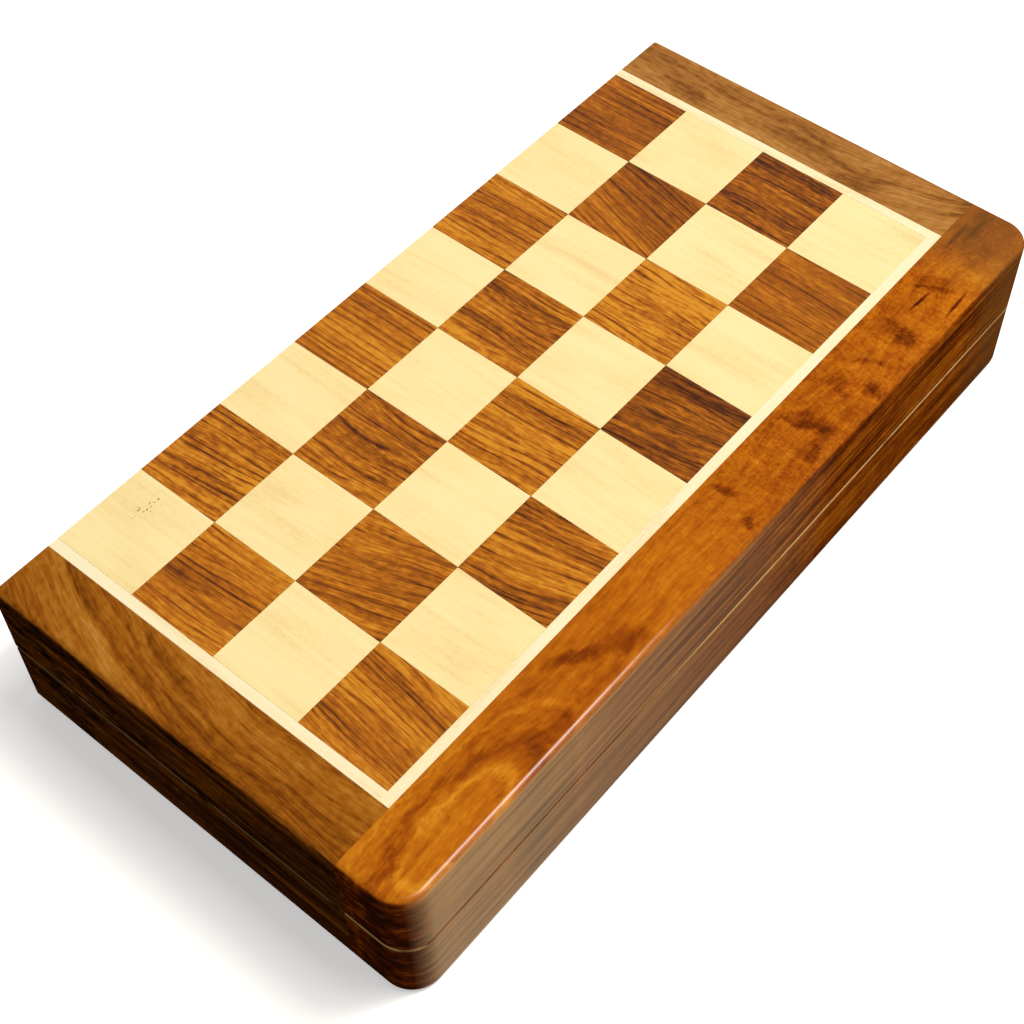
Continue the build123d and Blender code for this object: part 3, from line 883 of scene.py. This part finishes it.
for half in halves:
    bars = bmesh.new()
    for x in (magnet_low.x, magnet_high.x - magnet_length):
        start, stop = (x, magnet_low.y, magnet_low.z), (x + magnet_length, magnet_high.y, magnet_high.z)
        block(start, stop, bars)
    ease(bars, bars.edges, magnet_easing, 2)
    finish(bars, half, f"{half}_bar_magnets", [nickel], [f"{half}_closing_magnets"])

# Hinges. Rolled brass butts, each with one leaf in either half: the lower leaf is rolled into the
# two outer knuckles and the upper one into the middle knuckle, round a brass pin. The metal is a
# warm gold with fine scratches along it, and a little dull where it has tarnished.
brass = new_material("rolled brass")
at = add_node(brass, "TexCoord", give="Object")
along_roll = (1 / (6 * mm), 1 / (0.12 * mm), 1 / (0.12 * mm))
rolled = add_node(brass, "Mapping", {"Vector": at, "Scale": along_roll})
scratches = add_node(brass, "TexNoise", {"Vector": rolled, "Scale": 1.0, "Detail": 2.0})
tarnish = add_node(brass, "TexNoise", {"Vector": at, "Scale": 1 / (3 * mm), "Detail": 3.0})
brass_stops = ((0.3, "B08A3C"), (0.6, "D9B45C"))
brass_colour = add_node(brass, "ValToRGB", (tarnish,), stops=brass_stops)
brass_gloss = add_node(brass, "MapRange", (tarnish, 0.3, 0.7, 0.36, 0.22))
brass_surface = {"Base Color": brass_colour, "Roughness": brass_gloss, "Metallic": 1.0}
dress(brass, scratches, 0.01 * mm, 0.5, brass_surface)

screw_low, screw_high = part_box("lower_hinge_screws")
screw_length = screw_high.z - screw_low.z
head_radius = (screw_high.y - screw_low.y) / 2
head_depth = 1.1 * mm
screw_spacing = 15 * mm
screw_y = (screw_low.y + screw_high.y) / 2
screw_xs = {
    name: [(low.x + high.x) / 2 + side * screw_spacing / 2 for side in (-1, 1)]
    for name, (low, high) in leaf_boxes.items()
}
pin_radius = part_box("left_hinge_pin")[1].z - joint_place.z
pin_clearance = 0.05 * mm
pin_doming = 0.25 * mm
leaf_easing = 0.08 * mm
middle_knuckle = 9.4 * mm


def turned(line, steps=32):
    """A turned piece about Z, from heights and radii that start and end on its axis."""
    shape = bmesh.new()
    verts = [shape.verts.new((radius, 0, height)) for height, radius in line]
    edges = [shape.edges.new(pair) for pair in zip(verts, verts[1:])]
    full_turn = {"cent": (0, 0, 0), "axis": (0, 0, 1), "angle": 2 * pi, "use_merge": True}
    bmesh.ops.spin(shape, geom=verts + edges, steps=steps, **full_turn)
    bmesh.ops.remove_doubles(shape, verts=shape.verts, dist=0.001 * mm)
    bmesh.ops.recalc_face_normals(shape, faces=shape.faces)
    return shape


def move(shape, place):
    """Shifts a shape, and gives it back."""
    bmesh.ops.translate(shape, vec=place, verts=shape.verts)
    return shape


def rotate(shape, degrees, axis):
    """Turns a shape about an axis through the origin, and gives it back."""
    turn = Matrix.Rotation(radians(degrees), 3, axis)
    bmesh.ops.rotate(shape, cent=(0, 0, 0), matrix=turn, verts=shape.verts)
    return shape


def add_copies(shape, steps):
    """Adds copies of a shape at some steps along X, and gives it back."""
    one = shape.verts[:] + shape.edges[:] + shape.faces[:]
    for step in steps:
        copied = bmesh.ops.duplicate(shape, geom=one)["geom"]
        verts = [g for g in copied if isinstance(g, bmesh.types.BMVert)]
        bmesh.ops.translate(shape, vec=(step, 0, 0), verts=verts)
    return shape


def hinge_leaf(name, half):
    """One leaf with its knuckles, countersunk for two screws."""
    low, high = leaf_boxes[name]
    middle = (low.x + high.x) / 2
    leaf_half = (high.x - low.x) / 2
    inner = middle_knuckle / 2
    outer = inner + knuckle_gap
    spans = [(-leaf_half, -outer), (outer, leaf_half)] if half == "lower" else [(-inner, inner)]
    plate_edge = joint_place.y - knuckle_radius - knuckle_gap
    underside = half_height - leaf_thickness
    shape = block((low.x, low.y, underside), (high.x, plate_edge, half_height))
    joined = []
    for start, stop in spans:
        neck_low = (middle + start, plate_edge - spare, underside)
        joined.append(block(neck_low, (middle + stop, joint_place.y, half_height)))
        joined.append(rod(knuckle_radius, middle + start, middle + stop, joint_place))
    shape = combine(shape, joined, "UNION")
    tools = [rod(pin_radius + pin_clearance, low.x - spare, high.x + spare, joint_place, 24)]
    wide, above = head_radius + 0.22 * mm, 0.1 * mm
    countersink = [(-head_depth, 0), (-head_depth, wide - head_depth)]
    countersink += [(0, wide), (above, wide), (above, 0)]
    tools += [move(turned(countersink), (x, screw_y, half_height)) for x in screw_xs[name]]
    return combine(shape, tools)


def hinge_screw():
    """A countersunk screw with a slot, its point at the origin."""
    shank, root, pitch = 1.0 * mm, 0.78 * mm, 0.7 * mm
    thread_start, neck = 2.5 * mm, screw_length - head_depth
    line = [(0, 0), (0.1 * mm, 0.4 * mm), (thread_start, 0.8 * mm)]
    height = thread_start
    while height < neck - 2 * pitch:
        line += [(height + 0.5 * pitch, shank), (height + pitch, root)]
        height += pitch
    line += [(neck, shank), (screw_length - 0.15 * mm, head_radius)]
    line += [(screw_length, head_radius), (screw_length, 0)]
    half_slot, slot_bottom = 0.3 * mm, screw_length - 0.45 * mm
    slot_high = (2 * head_radius, half_slot, screw_length + spare)
    return combine(turned(line, 24), [block((-2 * head_radius, -half_slot, slot_bottom), slot_high)])


def hinge_pin(name):
    """The pin, its two ends domed a little."""
    low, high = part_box(f"{name}_hinge_pin")
    shape = rod(pin_radius, low.x, high.x, joint_place, 24)
    ease(shape, edges_at(shape, 0, low.x) | edges_at(shape, 0, high.x), pin_doming, 3)
    return shape


for name in leaf_boxes:
    for half in halves:
        leaf, nodes = f"{half}_{name}_butt_leaf", [f"{half}_{name}_hinge_leaf"]
        finish(hinge_leaf(name, half), half, leaf, [brass], nodes, leaf_easing)
    finish(hinge_pin(name), "lower", f"{name}_butt_pin", [brass], [f"{name}_hinge_pin"])
for half in halves:
    first_x, *other_xs = screw_xs["left"] + screw_xs["right"]
    screws = move(hinge_screw(), (first_x, screw_y, half_height - screw_length))
    add_copies(screws, [x - first_x for x in other_xs])
    finish(screws, half, f"{half}_slotted_screws", [brass], [f"{half}_hinge_screws"])

# Lining and pads. Green baize is glued over the core panel, and over two slabs of firm foam that
# are slotted for the men. The cloth is matt and deep green, with a woolly nap and stray lint, and
# it is soft at the slots' corners and mouths, where it turns in.
felt = new_material("green baize")
at = add_node(felt, "TexCoord", give="Object")
nap, lint, faded = (
    add_node(felt, "TexNoise", {"Vector": at, "Scale": 1 / size, **noise})
    for size, noise in (
        (0.35 * mm, {"Detail": 3.0, "Roughness": 0.7}),
        (1.6 * mm, {"Detail": 2.0, "Distortion": 2.0}),
        (22 * mm, {"Detail": 2.0}),
    )
)
felt_value = add_up(felt, -0.35, (nap, 0.7), (lint, 0.5), (faded, 0.5))
felt_stops = ((0.3, "0B2E1C"), (0.5, "12492C"), (0.75, "1F6340"))
felt_surface = {
    "Base Color": add_node(felt, "ValToRGB", (felt_value,), stops=felt_stops),
    "Roughness": 0.95,
    "Specular IOR Level": 0.1,
    "Sheen Weight": 0.35,
    "Sheen Roughness": 0.5,
    "Sheen Tint": linear("5E9A78"),
}
dress(felt, add_up(felt, 0.0, (nap, 0.7), (lint, 0.5)), 0.15 * mm, 0.8, felt_surface)

slot_pitch = 2 * hollow_end / columns
slot_clearance = 0.8 * mm
slot_corner = 2.5 * mm
mouth_radius = 0.9 * mm
lining_easing = 0.3 * mm
# The places of each kind in its row of slots, from the left.
places = {
    "rook": (0, 7),
    "knight": (1, 6),
    "bishop": (2, 5),
    "queen": (3,),
    "king": (4,),
    "pawn": tuple(range(columns)),
}


def node_of(kind):
    """The name of the light men of a kind."""
    return f"light_{kind}s" if len(places[kind]) > 1 else f"light_{kind}"


def base_of(kind):
    """The base diameter of a kind."""
    low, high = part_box(node_of(kind))
    return high.x - low.x - (places[kind][-1] - places[kind][0]) * slot_pitch


def slot_x(place):
    """The middle of a slot, counted from the left."""
    return (place + 0.5) * slot_pitch - hollow_end


def pad(name):
    """A slotted pad of the lower half."""
    low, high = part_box(f"lower_{name}_pad")
    tools = []
    for kind in places:
        if (kind == "pawn") != (name == "pawn"):
            continue
        man_low, man_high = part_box(node_of(kind))
        reach = base_of(kind) / 2 + slot_clearance
        start, stop = man_low.y - slot_clearance, man_high.y + slot_clearance
        for x in (slot_x(place) for place in places[kind]):
            tool = block((x - reach, start, low.z - spare), (x + reach, stop, high.z + spare))
            upright = {e for e in tool.edges if abs(e.verts[0].co.z - e.verts[1].co.z) > spare}
            ease(tool, upright, slot_corner, 5)
            tools.append(tool)
    shape = combine(block(low, high), tools)
    bmesh.ops.dissolve_limit(shape, angle_limit=radians(1), verts=shape.verts, edges=shape.edges)
    mouth = {e for e in edges_at(shape, 2, high.z) if e.calc_face_angle(0) > 1}
    ease(shape, mouth, mouth_radius, 3)
    return shape


for half in halves:
    lining_shape = block(*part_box("lower_pad_lining"))
    ease(lining_shape, lining_shape.edges, lining_easing, 2)
    finish(lining_shape, half, f"{half}_baize_lining", [felt], [f"{half}_pad_lining"])
    for name in ("officer", "pawn"):
        slab = finish(pad(name), half, f"{half}_{name}_slab", [felt], [f"{half}_{name}_pad"])

# Men. Turned on a lathe, lacquered and faced with green baize under their bases. Boxwood is pale
# and close, and the dark side is sheesham stained nearly black, both with a fine straight grain.
# Each man lies in its slot on foot and head.
baize_thickness = 0.5 * mm


def men_wood(name, stops):
    """Turned and lacquered wood with fine straight grain."""
    wood = new_material(name)
    at = add_node(wood, "TexCoord", give="Object")
    bands = fibres(wood, at, 2.2 * mm, 50 * mm, Detail=1.0, Distortion=0.3)
    lines = fibres(wood, at, 0.5 * mm, 25 * mm, Detail=2.0)
    flecks = fibres(wood, at, 0.35 * mm, 2.5 * mm, Detail=1.0)
    value = add_up(wood, -0.4, (bands, 0.8), (lines, 0.6), (flecks, 0.4))
    colour = add_node(wood, "ValToRGB", (value,), stops=stops)
    surface = {"Base Color": colour, "Roughness": 0.28, "Specular IOR Level": 0.35}
    dress(wood, lines, 0.01 * mm, 0.4, surface)
    return wood


men_woods = {
    "light": men_wood("lacquered boxwood", ((0.2, "B67E3A"), (0.45, "D6A35C"), (0.75, "E8C088"))),
    "dark": men_wood("lacquered dark sheesham", ((0.2, "1E0B05"), (0.45, "3E190C"), (0.75, "6A3014"))),
}


def smooth_runs(runs, height, radius):
    """The points of an outline whose runs are smooth curves, joined by straight steps."""
    points = []
    for run in runs:
        knots = [Vector((a * height, r * radius, 0)) for a, r in run]
        around = zip([knots[0]] + knots, knots[1:] + [knots[-1]])
        slopes = [(after - before) / 6 for before, after in around]
        points.append(knots[0])
        for (start, leaving), (stop, coming) in zip(zip(knots, slopes), zip(knots[1:], slopes[1:])):
            points += interpolate_bezier(start, start + leaving, stop - coming, stop, 5)[1:]
    return [(point.x, point.y) for point in points]


# Outlines as runs of height and base-radius shares, foot first.
foot = ((0, 0), (0, 0.95)), ((0.01, 1), (0.05, 1))
lines = {
    "pawn": foot
    + (
        ((0.1, 1), (0.12, 0.94), (0.135, 0.86)),
        ((0.135, 0.8), (0.2, 0.66), (0.32, 0.45), (0.5, 0.32)),
        ((0.52, 0.42), (0.54, 0.6), (0.57, 0.66), (0.6, 0.58)),
        ((0.61, 0.38), (0.65, 0.37)),
        ((0.66, 0.4), (0.72, 0.55), (0.82, 0.61), (0.92, 0.5), (0.98, 0.22), (1, 0)),
    ),
    "rook": foot
    + (
        ((0.09, 1), (0.11, 0.95), (0.13, 0.86)),
        ((0.13, 0.8), (0.18, 0.72), (0.25, 0.62), (0.45, 0.5), (0.66, 0.47)),
        ((0.67, 0.56), (0.69, 0.62), (0.71, 0.6)),
        ((0.74, 0.7), (0.76, 0.74), (0.98, 0.74), (1, 0.7)),
        ((1, 0.5), (0.9, 0.48), (0.89, 0)),
    ),
    "knight": foot
    + (
        ((0.08, 1), (0.1, 0.96), (0.12, 0.86)),
        ((0.12, 0.8), (0.16, 0.68), (0.2, 0.62)),
        ((0.21, 0.68), (0.24, 0.76), (0.28, 0.74)),
        ((0.3, 0.66), (0.3, 0)),
    ),
    "bishop": foot
    + (
        ((0.07, 1), (0.09, 0.95), (0.11, 0.86)),
        ((0.11, 0.8), (0.17, 0.66), (0.28, 0.45), (0.46, 0.33)),
        ((0.47, 0.42), (0.49, 0.58), (0.52, 0.64), (0.545, 0.56)),
        ((0.55, 0.4), (0.58, 0.38)),
        ((0.6, 0.42), (0.66, 0.52), (0.73, 0.56), (0.82, 0.45), (0.9, 0.2)),
        ((0.915, 0.17), (0.94, 0.23), (0.97, 0.22), (0.99, 0.12), (1, 0)),
    ),
    "queen": foot
    + (
        ((0.06, 1), (0.08, 0.95), (0.1, 0.85)),
        ((0.1, 0.8), (0.15, 0.66), (0.26, 0.45), (0.5, 0.32)),
        ((0.51, 0.42), (0.53, 0.58), (0.56, 0.64), (0.585, 0.56)),
        ((0.59, 0.4), (0.62, 0.38), (0.72, 0.42), (0.82, 0.53), (0.88, 0.64)),
        ((0.895, 0.62), (0.87, 0.5), (0.88, 0.46)),
        ((0.9, 0.42), (0.925, 0.28), (0.94, 0.15)),
        ((0.945, 0.17), (0.97, 0.22), (0.99, 0.13), (1, 0)),
    ),
    "king": foot
    + (
        ((0.05, 1), (0.07, 0.95), (0.09, 0.85)),
        ((0.09, 0.8), (0.14, 0.66), (0.25, 0.45), (0.48, 0.33)),
        ((0.49, 0.42), (0.51, 0.6), (0.54, 0.66), (0.565, 0.58)),
        ((0.57, 0.42), (0.6, 0.4), (0.68, 0.44), (0.76, 0.54), (0.82, 0.64)),
        ((0.83, 0.6), (0.85, 0.42), (0.865, 0.26)),
        ((0.87, 0.24), (0.88, 0.22), (0.885, 0)),
    ),
}
men_sizes = {"pawn": 32, "rook": 38, "knight": 42, "bishop": 47, "queen": 54, "king": 60}
heights = {kind: size * mm for kind, size in men_sizes.items()}
full_lines = {kind: smooth_runs(runs, heights[kind], base_of(kind) / 2) for kind, runs in lines.items()}


def crenels(shape, height):
    """Two cuts across the rook's top leave four merlons."""
    across, deep, width = 10 * mm, 2.5 * mm, 1.3 * mm
    reaches = ((across, width), (width, across))
    tools = [block((-x, -y, height - deep), (x, y, height + spare)) for x, y in reaches]
    return combine(shape, tools)


def mitre_cut(shape, height):
    """A slanting cut in the bishop's mitre."""
    reach, half_width, slant = 9 * mm, 0.5 * mm, -50
    tool = rotate(block((0, -reach, -half_width), (reach, reach, half_width)), slant, "Y")
    return combine(shape, [move(tool, (0.6 * mm, 0, 0.78 * height))])


def coronet(shape, height):
    """Eight scallops round the queen's crown."""
    count, radius, inner, outer = 8, 1.25 * mm, 4.6 * mm, 8 * mm
    rim = Vector((0, 0, 0.9 * height))
    tools = [rotate(rod(radius, inner, outer, rim, 16), i * 360 / count, "Z") for i in range(count)]
    return combine(shape, tools)


def cross(shape, height):
    """The king's cross, its arms widening outwards."""
    foot_z, half_arm, half_depth, thin, wide = 0.86 * height, 3 * mm, 0.9 * mm, 0.8 * mm, 1.1 * mm
    middle_z = foot_z + 0.62 * (height - foot_z)
    upright = block((-wide, -half_depth, foot_z), (wide, half_depth, height))
    bar = block((-half_arm, -half_depth, middle_z - wide), (half_arm, half_depth, middle_z + wide))
    for part in (upright, bar):
        for normal in ((1, 0, 0), (0, 0, 1)):
            geom = part.verts[:] + part.edges[:] + part.faces[:]
            bmesh.ops.bisect_plane(part, geom=geom, plane_co=(0, 0, middle_z), plane_no=normal)
    for vert in upright.verts:
        if abs(vert.co.z - middle_z) < hair:
            vert.co.x *= thin / wide
    for vert in bar.verts:
        if abs(vert.co.x) < hair:
            vert.co.z = middle_z + (vert.co.z - middle_z) * thin / wide
    return combine(shape, [upright, bar], "UNION")


# The horse's outline, in shares of the base radius and of the height, from the crest round the
# ear, face, muzzle and throat.
horse_runs = (
    ((-0.6, 0.27), (-0.73, 0.42), (-0.75, 0.58), (-0.6, 0.77), (-0.32, 0.88), (-0.14, 0.92)),
    ((-0.11, 0.93), (-0.02, 0.975), (0.04, 1)),
    ((0.04, 1), (0.12, 0.955), (0.15, 0.915)),
    ((0.2, 0.905), (0.45, 0.85), (0.8, 0.77), (0.91, 0.72), (0.92, 0.665)),
    ((0.88, 0.645), (0.76, 0.63), (0.62, 0.65)),
    ((0.6, 0.63), (0.45, 0.635), (0.3, 0.67)),
    ((0.26, 0.66), (0.27, 0.58), (0.42, 0.46), (0.6, 0.36), (0.66, 0.27)),
)
horse_half = 4 * mm
horse_easing = 1.0 * mm
# The locks of the mane, from the shoulder to the ear. They lie flatter towards the ear, and
# those above the neck's widest part follow the crest forwards.
lock_heights = (0.36, 0.44, 0.52, 0.6, 0.68, 0.76, 0.83)
lock_low, lock_high = Vector((-4.2, -0.35, -0.22)) * mm, Vector((1.6, 0.35, 0.22)) * mm
# The eye and the nostril are hollowed by balls: radius, how far the ball's middle stands off the
# flat, and its place in the shares of the outline.
hollows = ((0.75 * mm, 0.25 * mm, 0.3, 0.83), (0.45 * mm, 0.1 * mm, 0.8, 0.72))


def horse(shape, height):
    """A horse's head sawn from the flat and carved, on its turned foot."""
    radius = base_of("knight") / 2
    head = bmesh.new()
    outline = smooth_runs(horse_runs, radius, height)
    flat_face = head.faces.new([head.verts.new((x, -horse_half, z)) for x, z in outline])
    side = bmesh.ops.extrude_face_region(head, geom=[flat_face])["geom"]
    moved = [g for g in side if isinstance(g, bmesh.types.BMVert)]
    bmesh.ops.translate(head, vec=(0, 2 * horse_half, 0), verts=moved)
    bmesh.ops.recalc_face_normals(head, faces=head.faces)
    ease(head, edges_at(head, 1, -horse_half) | edges_at(head, 1, horse_half), horse_easing, 3)
    tools = []
    for face_side in (-1, 1):
        for share in lock_heights:
            lean = 35 - 60 * (share - lock_heights[0])
            lock_x = (-0.62 + 1.1 * max(0, share - 0.62)) * radius
            lock = rotate(block(lock_low, lock_high), lean, "Y")
            tools.append(move(lock, (lock_x, face_side * horse_half, share * height)))
        for ball_radius, off, across, up in hollows:
            ball = bmesh.new()
            bmesh.ops.create_icosphere(ball, subdivisions=2, radius=ball_radius)
            place = (across * radius, face_side * (horse_half + off), up * height)
            tools.append(move(ball, place))
    return combine(shape, [combine(head, tools)], "UNION")


tops = {"rook": crenels, "knight": horse, "bishop": mitre_cut, "queen": coronet, "king": cross}


def man(kind):
    """One man, standing on the origin."""
    shape = turned(full_lines[kind])
    return tops[kind](shape, heights[kind]) if kind in tops else shape


def lean_of(kind):
    """How far a lying man dips, with its foot and the widest part above on the lining."""
    radius = base_of(kind) / 2
    rim = max(height for height, reach in full_lines[kind] if reach > 0.999 * radius)
    points = [(height, reach) for height, reach in full_lines[kind] if height > rim + spare]
    if kind == "knight":
        points.append((heights[kind], horse_half))
    return min(atan2(radius - reach, height - rim) for height, reach in points)


def lying_men(kind):
    """All the men of a kind in a half, in their slots."""
    low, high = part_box(node_of(kind))
    inward = 1 if kind == "pawn" else -1
    shape = man(kind)
    roll = Matrix.Rotation(-inward * (pi / 2 + lean_of(kind)), 3, "X")
    bmesh.ops.rotate(shape, cent=(0, 0, 0), matrix=roll, verts=shape.verts)
    foot_y = min(v.co.y for v in shape.verts) if inward > 0 else max(v.co.y for v in shape.verts)
    wanted_y = low.y if inward > 0 else high.y
    lowest = min(v.co.z for v in shape.verts)
    first, *others = places[kind]
    move(shape, (slot_x(first), wanted_y - foot_y, low.z - lowest))
    add_copies(shape, [(place - first) * slot_pitch for place in others])
    base_end = low.y + baize_thickness if inward > 0 else high.y - baize_thickness
    for face in shape.faces:
        face.material_index = 1 if (base_end - face.calc_center_median().y) * inward > 0 else 0
    return shape


for half, colour in (("lower", "light"), ("upper", "dark")):
    materials = [men_woods[colour], felt]
    for kind in places:
        node = node_of(kind).replace("light", colour)
        name, slot = f"turned_{node}", f"{colour}_men_wood"
        finish(lying_men(kind), half, name, materials, [node], sharp=40)
